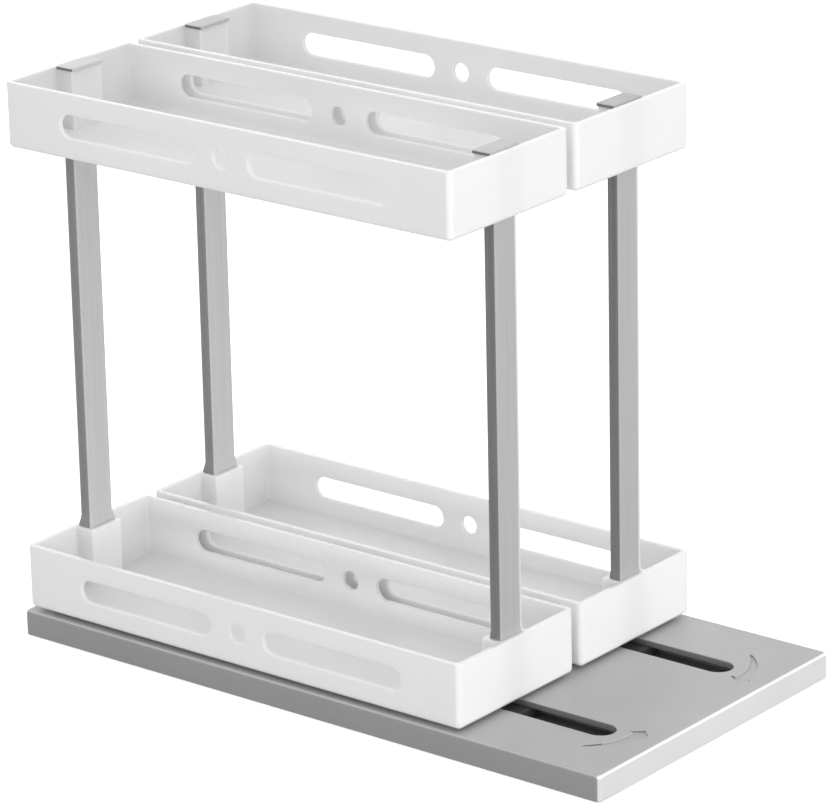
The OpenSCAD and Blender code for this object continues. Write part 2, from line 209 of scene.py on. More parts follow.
# Greys of the posts, one grey plastic in painted tones: broad faces in front, broad faces at the rear
# painted lighter to offset their shade, a corner strip in a painted highlight, narrow faces in painted
# shade, a little less dark at the rear.
post_plastic = moulded_plastic("post_plastic", grey(0.465), 0.035, 0.36, streak=1.6 * MM)
post_rear_painted_light = moulded_plastic("post_rear_painted_light", grey(0.575), 0.035, 0.36, streak=1.6 * MM)
post_edge_painted_highlight = moulded_plastic("post_edge_painted_highlight", grey(0.74), 0.03, 0.34, streak=1.6 * MM)
post_side_painted_shade = moulded_plastic("post_side_painted_shade", grey(0.20), 0.08, 0.36, streak=1.0 * MM)
post_rear_side_painted_shade = moulded_plastic("post_rear_side_painted_shade", grey(0.265), 0.08, 0.36, streak=1.0 * MM)
# Greys of the caps: the plain top, one cap's top in painted shade and another's in painted light, and
# narrow ends in painted shade;
# then the finishes of hidden pieces, of which the shoes' near-black is painted shade in the slots.
cap_plastic = moulded_plastic("cap_plastic", grey(0.57), 0.02, 0.36)
cap_painted_shade = moulded_plastic("cap_painted_shade", grey(0.47), 0.02, 0.36)
cap_painted_light = moulded_plastic("cap_painted_light", grey(0.70), 0.02, 0.36)
cap_side_painted_shade = moulded_plastic("cap_side_painted_shade", grey(0.19), 0.02, 0.36)
black_plastic = moulded_plastic("black_plastic", (0.18, 0.18, 0.183), 0.1, 0.55)
shoe_painted_shade = moulded_plastic("shoe_painted_shade", grey(0.08), 0.1, 0.5)
nylon = moulded_plastic("nylon", (0.75, 0.74, 0.70), 0.01, 0.42)
rubber = moulded_plastic("pad_rubber", grey(0.025), 0.1, 0.75)
screw_steel = metal("screw_steel", (0.55, 0.55, 0.57), 0.35)
pin_steel = metal("pin_steel", (0.6, 0.61, 0.63), 0.28)

# Finish of each slot of the record.
FINISHES = {
    "white_plastic": white_plastic,
    "grey_plastic": grey_plastic,
    "post_plastic": post_plastic,
    "cap_plastic": cap_plastic,
    "black_plastic": black_plastic,
    "nylon": nylon,
    "pad_rubber": rubber,
    "screw_steel": screw_steel,
    "pin_steel": pin_steel,
}


# Mesh building, in millimetres

SLIVER = 0.0005 * MM
LEAST_R = 0.1


def loft(rings):
    """Closed mesh through rings of points, each as long as the others, capped at both ends."""
    count = len(rings[0])
    points = [[c * MM for c in p] for r in rings for p in r]
    faces = [tuple(reversed(range(count)))]
    for i in range(len(rings) - 1):
        low, high = i * count, (i + 1) * count
        for j in range(count):
            k = (j + 1) % count
            faces.append((low + j, low + k, high + k, high + j))
    faces.append(tuple(range((len(rings) - 1) * count, len(rings) * count)))
    mesh = bpy.data.meshes.new("loft")
    mesh.from_pydata(points, [], faces)
    work = bmesh.new()
    work.from_mesh(mesh)
    bmesh.ops.recalc_face_normals(work, faces=work.faces)
    work.to_mesh(mesh)
    work.free()
    return mesh


def joined(meshes):
    """One mesh that holds several that don't touch."""
    work = bmesh.new()
    for mesh in meshes:
        work.from_mesh(mesh)
    made = bpy.data.meshes.new("joined")
    work.to_mesh(made)
    work.free()
    return made


def combine(mesh, tool, operation):
    """Exact boolean of two meshes, DIFFERENCE or UNION, without the slivers that it leaves."""
    body = new_object("body", mesh)
    other = new_object("other", tool)
    step = body.modifiers.new("step", "BOOLEAN")
    step.operation = operation
    step.object = other
    step.solver = "EXACT"
    graph = bpy.context.evaluated_depsgraph_get()
    made = bpy.data.meshes.new_from_object(body.evaluated_get(graph))
    bpy.data.objects.remove(body)
    bpy.data.objects.remove(other)
    work = bmesh.new()
    work.from_mesh(made)
    bmesh.ops.remove_doubles(work, verts=work.verts, dist=SLIVER)
    bmesh.ops.dissolve_degenerate(work, edges=work.edges, dist=SLIVER)
    work.to_mesh(made)
    work.free()
    return made


def cut(mesh, *tools):
    return combine(mesh, joined(tools), "DIFFERENCE")


def add(mesh, *tools):
    return combine(mesh, joined(tools), "UNION")


def arc(centre, radius, start, end, steps):
    """Points of an arc between two angles in degrees, both ends included."""
    angles = [math.radians(start + (end - start) * i / steps) for i in range(steps + 1)]
    return [(centre[0] + radius * math.cos(a), centre[1] + radius * math.sin(a)) for a in angles]


def rect(w, d, r, steps=6):
    """Outline with round corners, centred."""
    x, y = w / 2 - r, d / 2 - r
    corners = (((x, y), 0), ((-x, y), 90), ((-x, -y), 180), ((x, -y), 270))
    return [p for centre, a in corners for p in arc(centre, r, a, a + 90, steps)]


def stadium(length, d, steps=16):
    """Outline of a slot along the first axis, centred, with its length over all."""
    run = length / 2 - d / 2
    return arc((run, 0), d / 2, -90, 90, steps) + arc((-run, 0), d / 2, 90, 270, steps)


def circle(d, steps=40):
    return arc((0, 0), d / 2, 0, 360 - 360 / steps, steps - 1)


def flat(outline, z, at=(0, 0)):
    """Ring at height z from an outline."""
    return [(x + at[0], y + at[1], z) for x, y in outline]


def prism(outline, z0, z1, at=(0, 0)):
    return loft([flat(outline, z0, at), flat(outline, z1, at)])


def quarter(steps=5):
    """Angles of a quarter turn, in radians."""
    return [math.pi / 2 * i / steps for i in range(steps + 1)]


def soft_block(w, d, r, z0, z1, edge, at=(0, 0), foot=None):
    """Upright block with round corners, a rounded upper edge and a rounded lower one."""
    foot = edge if foot is None else foot
    border = [(foot * (1 - math.sin(a)), z0 + foot * (1 - math.cos(a))) for a in quarter()]
    border += [(edge * (1 - math.cos(a)), z1 - edge * (1 - math.sin(a))) for a in quarter()]
    return loft([flat(rect(w - 2 * inset, d - 2 * inset, max(r - inset, LEAST_R)), z, at)
                 for inset, z in border])


def wall_cutter(outline_at, faces, centre):
    """Cutter through a wall across X whose hole has rounded edges on both faces of the wall.

    outline_at gives the hole's outline, grown by an amount, as points along Y and Z."""
    near, far = faces
    border = [(HOLE_EDGE * (1 - math.cos(a)), HOLE_EDGE * (1 - math.sin(a))) for a in quarter(4)]
    steps = [(near - BEYOND, HOLE_EDGE)] + [(near + inset, grow) for inset, grow in border]
    steps += [(far - inset, grow) for inset, grow in reversed(border)] + [(far + BEYOND, HOLE_EDGE)]
    rings = [[(x, centre[0] + y, centre[1] + z) for y, z in outline_at(grow)] for x, grow in steps]
    return loft(rings)


# Sizes of the construction, in millimetres

def mm_box(node):
    """Lowest and highest corner of a CAD node."""
    low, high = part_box(node)
    return low / MM, high / MM


upper_low, upper_high = mm_box("right_upper_tray")
lower_low, lower_high = mm_box("right_lower_tray")
TRAY_W = upper_high.x - upper_low.x
TRAY_L = upper_high.y - upper_low.y
TRAY_H = upper_high.z - upper_low.z
TRAY_FRONT = upper_low.y
TRAY_BACK = upper_high.y
TRAY_MID = (TRAY_FRONT + TRAY_BACK) / 2
RACK_X = (upper_low.x + upper_high.x) / 2
UPPER_Z = upper_low.z
LOWER_Z = lower_high.z - TRAY_H
HUB_Z = lower_low.z

pin_low, pin_high = mm_box("right_pivot_pin")
PIVOT_Y = (pin_low.y + pin_high.y) / 2
PIN_TOP = pin_high.z
PIN_D = 6.0
HUB_D = 10.0

# Base: front centre and width of the guide slots, then its own roundings and top.
base_low, base_high = mm_box("base_shell")
GUIDE_FRONT = base_low.y + 25.2
GUIDE_W = 11.3
ARROW_DEPTH = 0.7
BASE_R = 2.0
BASE_EDGE = 1.2
BASE_TOP_T = 2.5

# Trays: walls and their roundings, then the pattern in the side walls.
WALL = 2.0
FLOOR = 2.0
CORNER_R = 2.2
INNER_R = 1.0
FOOT_R = 2.0
FILLET = 1.5
RIM = 0.32
HOLE_EDGE = 0.6
HUB_EDGE = 0.4
SLOT_H = 8.8
SLOT_END_WEB = 27.0
SLOT_MID_WEB = 12.8
HOLE_D = 7.2
PATTERN_Z = 13.0

# Posts, the sockets that take them, and the screws that hold them.
POST_W = 12.9
POST_T = 5.2
POST_R = 1.0
POST_EDGE = 0.6
GROOVE = 0.3
BOSS_WALL = 2.6
BOSS_SIDE_WALL = 1.8
POST_INSET = WALL + 0.3 + POST_T / 2
BOSS_W = POST_W + 2 * BOSS_SIDE_WALL
BOSS_REACH = POST_INSET + POST_T / 2 + BOSS_WALL
POST_GAP = 0.1
LOWER_SOCKET = 18.0
UPPER_SOCKET = 16.0
SOCKET_WEB = 2.5
HEAD_D = 5.0
HEAD_H = 1.2
HEAD_RECESS = 3.3
SCREW_D = 2.6
PILOT = 0.05
CLEARANCE = 0.2
ENDS = (-1, 1)

# How far a cutter reaches past what it cuts, and an added form into what it joins.
BEYOND = 1.0
OVERLAP = 0.5


def post_y(end):
    """Middle of the front (-1) or rear (1) posts."""
    return TRAY_FRONT + POST_INSET if end < 0 else TRAY_BACK - POST_INSET


# Trays

def tray_shell(z):
    """Moulded shell with a rounded foot, a rounded rim and a filleted floor.

    Its profile holds an inset, a height and a corner radius for each ring."""
    least_r = 0.3
    profile = []
    for a in quarter(6):
        inset = FOOT_R * (1 - math.sin(a))
        profile.append((inset, FOOT_R * (1 - math.cos(a)), max(CORNER_R - inset, least_r)))
    for a in quarter(4):
        inset = RIM * (1 - math.cos(a))
        profile.append((inset, TRAY_H - RIM * (1 - math.sin(a)), None))
    for a in quarter(4):
        inset = WALL - RIM + RIM * math.sin(a)
        profile.append((inset, TRAY_H - RIM * (1 - math.cos(a)), None))
    for a in quarter(5):
        inset = WALL + FILLET * (1 - math.cos(a))
        corner_r = max(INNER_R - (inset - WALL), least_r)
        profile.append((inset, FLOOR + FILLET * (1 - math.sin(a)), corner_r))
    rings = []
    for inset, height, r in profile:
        if r is None:
            r = CORNER_R + (INNER_R - CORNER_R) * inset / WALL
        outline = rect(TRAY_W - 2 * inset, TRAY_L - 2 * inset, r)
        rings.append(flat(outline, z + height, (0, TRAY_MID)))
    return loft(rings)


def pattern_cutters(z):
    """Long slot, round hole and long slot in each side wall."""
    slot_l = TRAY_L / 2 - SLOT_END_WEB - SLOT_MID_WEB
    middle = SLOT_MID_WEB + slot_l / 2

    def slot_outline(grow):
        return stadium(slot_l + 2 * grow, SLOT_H + 2 * grow)

    def hole_outline(grow):
        return circle(HOLE_D + 2 * grow)

    tools = []
    for side in (-1, 1):
        outer, inner = side * TRAY_W / 2, side * (TRAY_W / 2 - WALL)
        faces = (min(outer, inner), max(outer, inner))
        for y in (TRAY_MID - middle, TRAY_MID + middle):
            tools.append(wall_cutter(slot_outline, faces, (y, z + PATTERN_Z)))
        tools.append(wall_cutter(hole_outline, faces, (TRAY_MID, z + PATTERN_Z)))
    return tools


def bosses(z, top):
    """Blocks for the posts at both ends of a tray, grown into its end walls and floor."""
    made = []
    depth = BOSS_REACH - WALL / 2
    corner_r, edge, foot = 0.8, 0.4, 0.1
    for end in ENDS:
        y = TRAY_FRONT + WALL / 2 + depth / 2 if end < 0 else TRAY_BACK - WALL / 2 - depth / 2
        made.append(soft_block(BOSS_W, depth, corner_r, z + FLOOR / 2, top, edge, (0, y), foot))
    return made


def pocket(end, z0, z1):
    """Cutter for the socket of a post."""
    outline = rect(POST_W + 2 * POST_GAP, POST_T + 2 * POST_GAP, POST_R + POST_GAP)
    return prism(outline, z0, z1, (0, post_y(end)))


def bore(end, d, z0, z1):
    """Cutter for a round hole in line with a post."""
    return prism(circle(d, 32), z0, z1, (0, post_y(end)))


def upper_tray_mesh():
    """Upper tray: sockets for the posts from below, and for the caps' spigots from above."""
    cap_seat = 0.7
    boss_top = UPPER_Z + TRAY_H - cap_seat
    web_low = UPPER_Z + UPPER_SOCKET
    web_high = web_low + SOCKET_WEB
    mesh = cut(tray_shell(UPPER_Z), *pattern_cutters(UPPER_Z))
    mesh = add(mesh, *bosses(UPPER_Z, boss_top))
    mesh = cut(mesh, *[pocket(e, UPPER_Z - BEYOND, web_low) for e in ENDS])
    mesh = cut(mesh, *[pocket(e, web_high, boss_top + BEYOND) for e in ENDS])
    return cut(mesh, *[bore(e, SCREW_D + CLEARANCE, web_low - BEYOND, web_high + BEYOND) for e in ENDS])


def lower_tray_mesh():
    """Lower tray: deep sockets for the posts, screw seats below them, and the hub for the pin."""
    top = LOWER_Z + TRAY_H
    boss_top = top - 0.04
    post_foot = top - LOWER_SOCKET
    hub_r, hub_cover, pin_play = HUB_D / 2 - 0.01, 2, 0.05
    axis = (0, PIVOT_Y)
    hub = soft_block(HUB_D, HUB_D, hub_r, HUB_Z, PIN_TOP + hub_cover, HUB_EDGE, axis, HUB_EDGE / 2)
    mesh = cut(tray_shell(LOWER_Z), *pattern_cutters(LOWER_Z))
    mesh = add(mesh, *bosses(LOWER_Z, boss_top))
    mesh = add(mesh, hub)
    mesh = cut(mesh, *[pocket(e, post_foot, top + BEYOND) for e in ENDS])
    mesh = cut(mesh, *[bore(e, HEAD_D + CLEARANCE, LOWER_Z - BEYOND, LOWER_Z + HEAD_RECESS) for e in ENDS])
    mesh = cut(mesh, *[bore(e, SCREW_D + CLEARANCE, LOWER_Z + BEYOND, post_foot + BEYOND) for e in ENDS])
    return cut(mesh, prism(circle(PIN_D + pin_play, 48), HUB_Z - BEYOND, PIN_TOP + pin_play, axis))


# Posts and caps

def post_outline(w, t, r, groove):
    """Section of a post: round corners and a shallow rounded groove in each narrow face.

    One more point, POST_EDGE from a front corner, bounds the strip of painted highlight along that corner."""
    half, lip, shoulder = 0.8, 0.15, groove * 0.8
    x, y = w / 2 - r, t / 2 - r
    right = [(w / 2, -half - lip), (w / 2 - shoulder, -half), (w / 2 - groove, -half + 2 * lip),
             (w / 2 - groove, half - 2 * lip), (w / 2 - shoulder, half), (w / 2, half + lip)]
    left = [(-px, -py) for px, py in right]
    strip = [(x - POST_EDGE, -t / 2)]
    return (right + arc((x, y), r, 0, 90, 6) + arc((-x, y), r, 90, 180, 6)
            + left + arc((-x, -y), r, 180, 270, 6) + strip + arc((x, -y), r, 270, 360, 6))


def post_mesh(end):
    """Grooved flat post with a flared collar, and pilot holes for the screws in both ends.

    The collar's curve is given as shares of its flare and of its height."""
    foot = LOWER_Z + TRAY_H - LOWER_SOCKET
    collar = LOWER_Z + TRAY_H
    head = UPPER_Z + UPPER_SOCKET
    flare_x, flare_y, collar_h = (0.3, 0.25, 3.4) if end < 0 else (0.8, 0.7, 4.4)
    curve = ((0.9, 0.0), (1.0, 0.03), (0.98, 0.16), (0.8, 0.3), (0.56, 0.48), (0.33, 0.66), (0.12, 0.86))
    run_in, pilot_depth = 1.0, 12
    at = (0, post_y(end))
    plain = post_outline(POST_W, POST_T, POST_R, 0.0)
    grooved = post_outline(POST_W, POST_T, POST_R, GROOVE)

    def flared(share):
        return post_outline(POST_W + 2 * flare_x * share, POST_T + 2 * flare_y * share, POST_R, 0.0)

    rings = [flat(plain, foot, at), flat(plain, collar - 0.001, at)]
    for share, height in curve:
        rings.append(flat(flared(share), collar + height * collar_h, at))
    rings += [flat(plain, collar + collar_h, at), flat(grooved, collar + collar_h + run_in, at)]
    rings += [flat(grooved, head, at)]
    pilot = circle(SCREW_D + PILOT, 24)
    return cut(loft(rings), prism(pilot, foot - BEYOND, foot + pilot_depth, at),
               prism(pilot, head - pilot_depth, head + BEYOND, at))


def cap_mesh(node, end):
    """Plate with a soft upper edge, and the spigot under it.

    Its border is given as pairs of inset and height."""
    low, high = mm_box(node)
    plate_t, spigot_h = 1.2, 2.6
    plate_z = high.z - plate_t
    at = ((low.x + high.x) / 2, (low.y + high.y) / 2)
    w, d, r, least_r = high.x - low.x, high.y - low.y, 1.0, 0.3
    border = ((0.1, 0.0), (0.0, 0.1), (0.0, 0.85), (0.05, 1.0), (0.2, 1.1), (0.5, 1.16), (0.8, plate_t))
    plate = loft([flat(rect(w - 2 * inset, d - 2 * inset, max(r - inset, least_r)), plate_z + rise, at)
                  for inset, rise in border])
    spigot = rect(POST_W, POST_T, POST_R)
    return add(plate, prism(spigot, plate_z - spigot_h, plate_z + plate_t / 2, (at[0], post_y(end))))


# Base

def arrow_outline(side):
    """Bowed arrow, tail outward and head towards the middle, from the centre of a slot's end."""
    outer_c, outer_r = (-8.0, 12.1), 29.0
    inner_c, inner_r = (-2.3, 13.4), 24.3
    head_x, tail_y = -4.6, -3.3
    tip, near_barb, far_barb = (-8.3, -13.6), (head_x, -17.6), (head_x, -9.0)

    def at_y(c, r, y):
        return -math.degrees(math.asin((c[1] - y) / r))

    def at_x(c, r, x):
        return -math.degrees(math.acos((x - c[0]) / r))

    bow = arc(outer_c, outer_r, at_y(outer_c, outer_r, tail_y), at_x(outer_c, outer_r, head_x), 28)
    back = arc(inner_c, inner_r, at_x(inner_c, inner_r, head_x), at_y(inner_c, inner_r, tail_y), 28)
    points = bow + [near_barb, tip, far_barb] + back
    return [(side * x, y) for x, y in points]


def grown(outline, amount):
    """Outline whose edges are moved outward by about amount."""
    count = len(outline)
    area = sum(a[0] * b[1] - b[0] * a[1] for a, b in zip(outline, outline[1:] + outline[:1]))
    sense = amount if area > 0 else -amount
    moved = []
    for i, point in enumerate(outline):
        before, after = Vector(outline[i - 1]), Vector(outline[(i + 1) % count])
        first = (Vector(point) - before).normalized()
        second = (after - Vector(point)).normalized()
        along = first + second
        normal = Vector((along.y, -along.x)).normalized()
        reach = max(normal.dot(Vector((first.y, -first.x))), 0.5)
        moved.append(tuple(Vector(point) + normal * sense / reach))
    return moved


def base_screw_points():
    """Places of the six screws that close the base."""
    inset = 8.0
    x, y = base_high.x - inset, base_high.y - inset
    return [(-x, -y), (-x, y), (x, -y), (x, y), (0.0, GUIDE_FRONT), (0.0, TRAY_MID)]


def channel_rails(plate_top, roof):
    """Walls round each shoe's channel, from the underplate to the roof, and where they end."""
    half_w, t, end_gap, r = 12.2, 2.0, 15.4, 0.3
    front, back = GUIDE_FRONT - end_gap, PIVOT_Y + end_gap
    length = back - front
    rails = []
    for x in (-RACK_X, RACK_X):
        at = (x, (front + back) / 2)
        outer = prism(rect(2 * (half_w + t), length + 2 * t, r), plate_top, roof + OVERLAP, at)
        inner = prism(rect(2 * half_w, length, r), plate_top - BEYOND, roof + BEYOND, at)
        rails.append(cut(outer, inner))
    return rails, back + t / 2


def guide_slot(x, roof):
    """Cutter for a guide slot, which widens to a rounded upper edge."""
    edge = 0.6
    length = PIVOT_Y - GUIDE_FRONT + GUIDE_W
    steps = [(roof - BEYOND, 0.0), (base_high.z - edge, 0.0)]
    steps += [(base_high.z - edge * (1 - math.sin(a)), edge * (1 - math.cos(a))) for a in quarter(5)[1:]]
    steps += [(base_high.z + BEYOND, edge)]
    rings = []
    for z, grow in steps:
        outline = [(-v, u) for u, v in stadium(length + 2 * grow, GUIDE_W + 2 * grow)]
        rings.append(flat(outline, z, (x, (GUIDE_FRONT + PIVOT_Y) / 2)))
    return loft(rings)


def arrow_cutter(side):
    """Cutter for an engraved arrow with bevelled edges."""
    edge = 0.3
    steps = ((ARROW_DEPTH, 0.0), (edge, 0.0), (edge / 3, edge / 3), (0.0, edge), (-BEYOND, edge))
    outline = arrow_outline(side)
    at = (side * RACK_X, GUIDE_FRONT)
    return loft([flat(grown(outline, grow), base_high.z - below, at) for below, grow in steps])


def base_mesh():
    """Top and skirt in one, with slots, arrows, rails, ribs and screw bosses."""
    low, high = base_low, base_high
    w, d = high.x - low.x, high.y - low.y
    foot, skirt, cavity_r = 0.3, 2.5, 0.5
    rib_t, rib_h, rib_r, rib_end = 1.6, 3.0, 0.2, 0.2
    screw_boss_d, screw_depth = 7.0, 4.0
    roof = high.z - BASE_TOP_T
    plate_top = mm_box("base_underplate")[1].z
    mesh = soft_block(w, d, BASE_R, low.z, high.z, BASE_EDGE, (0, 0), foot)
    mesh = cut(mesh, prism(rect(w - 2 * skirt, d - 2 * skirt, cavity_r), low.z - BEYOND, roof))
    rails, rail_back = channel_rails(plate_top, roof)
    mesh = add(mesh, *rails)
    across = rect(w - 2 * skirt + 2 * rib_end, rib_t, rib_r)
    for y in (TRAY_MID, (TRAY_MID + TRAY_BACK) / 2):
        mesh = add(mesh, prism(across, roof - rib_h, roof + OVERLAP, (0, y)))
    rib_back = high.y - skirt + rib_end
    length = rib_back - rail_back
    along, middle = rect(rib_t, length, rib_r), rib_back - length / 2
    mesh = add(mesh, *[prism(along, roof - rib_h, roof + OVERLAP, (x, middle)) for x in (-RACK_X, RACK_X)])
    points = base_screw_points()
    boss, pilot = circle(screw_boss_d, 32), circle(SCREW_D + PILOT, 24)
    mesh = add(mesh, *[prism(boss, plate_top, roof + OVERLAP, p) for p in points])
    mesh = cut(mesh, *[prism(pilot, plate_top - BEYOND, plate_top + screw_depth, p) for p in points])
    mesh = cut(mesh, *[guide_slot(x, roof) for x in (-RACK_X, RACK_X)])
    return cut(mesh, *[arrow_cutter(side) for side in (-1, 1)])


# Screws, pads and glides

def turned_piece(profile, at, steps=40):
    """Round piece from pairs of radius and height."""
    return loft([flat(circle(2 * r, steps), z, at) for r, z in profile])


def screw_mesh(at, seat, length, sense=1):
    """Pan-head screw with a cross recess; the shank runs from the seat up (1) or down (-1)."""
    r, shank, point = HEAD_D / 2, SCREW_D / 2, 0.9
    profile = ((0.58 * r, -HEAD_H), (0.8 * r, -0.94 * HEAD_H), (0.94 * r, -0.72 * HEAD_H),
               (r, -0.4 * HEAD_H), (r, 0), (shank, 0.001), (shank, length - point), (0.35 * shank, length))
    made = turned_piece(profile if sense > 0 else [(a, -z) for a, z in profile], at, 32)
    made.transform(Matrix.Translation((0, 0, seat * MM)))
    cross_l, cross_w, cross_r, cross_depth, above = 2.7, 0.62, 0.1, 0.55, 0.5
    face = seat - sense * HEAD_H
    low, high = sorted((face - sense * above, face + sense * cross_depth))
    for w, d in ((cross_l, cross_w), (cross_w, cross_l)):
        made = cut(made, prism(rect(w, d, cross_r), low, high, at))
    return made


def base_screws_mesh():
    """The six screws of the base, which point up."""
    length = 5.5
    seat = mm_box("base_screws")[0].z + HEAD_H
    return joined([screw_mesh(p, seat, length) for p in base_screw_points()])


def post_screws_mesh(tier):
    """The two screws of a tier, which point up in the lower one and down in the upper one."""
    length = 12.0
    if tier == "lower":
        return joined([screw_mesh((0, post_y(e)), LOWER_Z + HEAD_RECESS, length) for e in ENDS])
    seat = UPPER_Z + UPPER_SOCKET + SOCKET_WEB
    return joined([screw_mesh((0, post_y(e)), seat, length, -1) for e in ENDS])


def four_discs(profile, low, high, shift=0.0):
    """Round pieces in the corners of a box; the profile's last radius is theirs."""
    r = profile[-1][0]
    return joined([turned_piece(profile, (x - shift, y))
                   for x in (low.x + r, high.x - r) for y in (low.y + r, high.y - r)])


def pads_mesh():
    """Floor pads with a rounded lower rim."""
    low, high = mm_box("base_pads")
    r = 6.0
    return four_discs(((r - 0.5, 0.0), (r - 0.2, 0.08), (r, 0.3), (r, high.z)), low, high)


def glides_mesh():
    """Glides of one rack with a rounded lower rim, before their shift to the rack."""
    low, high = mm_box("right_glides")
    r = 5.0
    profile = ((r - 0.6, low.z), (r - 0.2, low.z + 0.1), (r, low.z + 0.4), (r, high.z))
    return four_discs(profile, low, high, RACK_X)


# Finishes of single faces, and placing

# A face's middle lies within NEAR of its plane, and within SLACK of the end of its rounding.
NEAR = 0.05
SLACK = 0.1
# Least share of a normal along an axis: of a flat face, and of a side with its roundings.
FLAT = 0.985
SIDEWAYS = 0.85
SHARP_ANGLE = math.radians(34)


def turned(polygon):
    """Whether a face belongs to a rounding, and so looks along none of the axes."""
    return max(abs(c) for c in polygon.normal) < FLAT


def tray_finish(polygon):
    """Name of the finish of a tray's face, by its place on the tray."""
    boss_from, boss_to = WALL + 0.5, BOSS_REACH + SLACK
    x, y, z = (c / MM for c in polygon.center)
    end_inset = TRAY_L / 2 - abs(y - TRAY_MID)
    side_inset = TRAY_W / 2 - abs(x)
    rim = min(abs(z - UPPER_Z - TRAY_H), abs(z - LOWER_Z - TRAY_H)) < NEAR
    from_pattern = min(abs(z - UPPER_Z - PATTERN_Z), abs(z - LOWER_Z - PATTERN_Z))
    in_wall = NEAR < side_inset < WALL - NEAR and end_inset > 2 * WALL
    if in_wall and from_pattern < SLOT_H / 2 + HOLE_EDGE:
        return "hole"
    if rim or (turned(polygon) and min(side_inset, end_inset) < WALL + 0.01):
        return "edge"
    if side_inset < NEAR:
        return "plus_x" if x > 0 else "minus_x"
    if end_inset < NEAR:
        return "end"
    if abs(end_inset - WALL) < NEAR and side_inset > WALL:
        return "end_inside"
    boss = abs(x) < BOSS_W / 2 and boss_from < end_inset < boss_to
    return "boss" if boss and abs(polygon.normal.y) > 0.3 else "wall"


def cap_finish(polygon):
    """Narrow ends of a cap are painted darker than its top, as painted shade."""
    return "end" if abs(polygon.normal.x) > 0.7 else "top"


def post_finish(polygon):
    """Narrow grooved faces of a post are painted darker than its broad ones as painted shade, and a strip
    at one front corner is painted paler as a painted highlight.
    """
    groove_reach, groove_tilt, front_tilt = 1.2, 0.05, 0.25
    n = polygon.normal
    x, y = polygon.center.x / MM, polygon.center.y / MM
    from_middle = min(abs(y - post_y(end)) for end in ENDS)
    if abs(n.x) > SIDEWAYS or (from_middle < groove_reach and abs(n.x) > groove_tilt):
        return "side"
    at_corner = x > POST_W / 2 - POST_R - POST_EDGE
    return "strip" if at_corner and n.y < -front_tilt else "broad"


def base_finish(polygon):
    """The base's ends are painted paler than its top as painted light, its upper edges as painted
    highlights, and its sides and slots are painted darker as painted shade.

    The arrows' flanks that look along Y get the painted light of the ends too, their other flanks the
    painted shade of the slots."""
    n = polygon.normal
    x, y, z = (abs(c) / MM for c in polygon.center)
    depth = base_high.z - z
    within = x < base_high.x - BASE_R and y < base_high.y - BASE_R
    if within and abs(n.z) < 0.3 and depth < BASE_TOP_T:
        return "end" if depth < ARROW_DEPTH + NEAR and abs(n.x) <= 0.5 else "slot"
    if abs(n.x) > SIDEWAYS:
        return "side"
    corner = turned(polygon) and abs(n.z) < 0.05 and y > base_high.y - BASE_R - SLACK
    if corner or abs(n.y) > FLAT:
        return "end"
    if not turned(polygon) or n.z < 0.05:
        return "top"
    return "end_edge" if y > base_high.y - BASE_EDGE - SLACK else "lip"


BODY_OF = {n: body for body, members in frame["record"]["behaviour"]["bodies"].items() for n in members}


def place(mesh, name, node, slot, shift=0.0, rule=None, looks=None):
    """Puts a mesh on its rack, gives it its finishes, and lets it stand for its CAD node.

    rule names a face's finish among looks, or else the piece has its slot's finish all over."""
    mesh = mesh.copy()
    looks = looks or {"plain": FINISHES[slot]}
    order = list(looks)
    numbers = [order.index(rule(polygon)) if rule else 0 for polygon in mesh.polygons]
    mesh.transform(Matrix.Translation((shift * MM, 0, 0)))
    mesh.name = name
    for polygon in mesh.polygons:
        polygon.use_smooth = True
    mesh.set_sharp_from_angle(angle=SHARP_ANGLE)
    mesh.materials.clear()
    for finish in looks.values():
        mesh.materials.append(finish)
    mesh.polygons.foreach_set("material_index", numbers)
    obj = new_object(name, mesh)
    normals = obj.modifiers.new("normals", "WEIGHTED_NORMAL")
    normals.keep_sharp = True
    normals.weight = 80
    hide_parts(node)
    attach(obj, BODY_OF[node])


for part in frame["record"]["subparts"]:
    obj = nodes[part["node"]]
    obj.data.materials.clear()
    obj.data.materials.append(FINISHES[part["material_slot"]])
# The shoes' guides show in the slots; their near-black finish is painted shade that stands for the
# darkness deep in the slots.
for side in ("left", "right"):
    nodes[side + "_slide_shoe"].data.materials[0] = shoe_painted_shade

# The base's faces in painted tones: painted shade on sides and slots, painted light on ends, painted
# highlights on upper edges.
base_looks = {"top": grey_plastic, "side": grey_side_painted_shade, "end": grey_end_painted_light, "end_edge": grey_edge_painted_highlight,
              "lip": grey_lip_painted_highlight, "slot": grey_slot_painted_shade}
# Rear posts are painted lighter than the front ones to offset their shade; only the front posts carry the
# painted highlight strip.
post_looks = {
    "front": {"broad": post_plastic, "side": post_side_painted_shade, "strip": post_edge_painted_highlight},
    "rear": {"broad": post_rear_painted_light, "side": post_rear_side_painted_shade, "strip": post_rear_painted_light},
}
# The right front cap's top is painted in shade and the left rear one's in light; the others keep the plain
# grey.
cap_tops = {"right_front": cap_painted_shade, "left_rear": cap_painted_light}
# Tier, mesh, and the finishes of its walls, outer side, ends, and ends inside, all painted tones: lower
# walls painted lighter against the upper trays' shade, outer sides and lower inner ends in painted shade,
# lower outer ends in painted light.
trays = (
    ("lower", lower_tray_mesh(), white_plastic, white_painted_half_shade, white_painted_light, white_painted_shade),
    ("upper", upper_tray_mesh(), white_painted_half_shade, white_painted_shade, white_painted_half_shade, white_painted_half_shade),
)
screw_meshes = {tier: post_screws_mesh(tier) for tier in ("lower", "upper")}
glide_mesh = glides_mesh()
post_meshes = {"front": post_mesh(-1), "rear": post_mesh(1)}

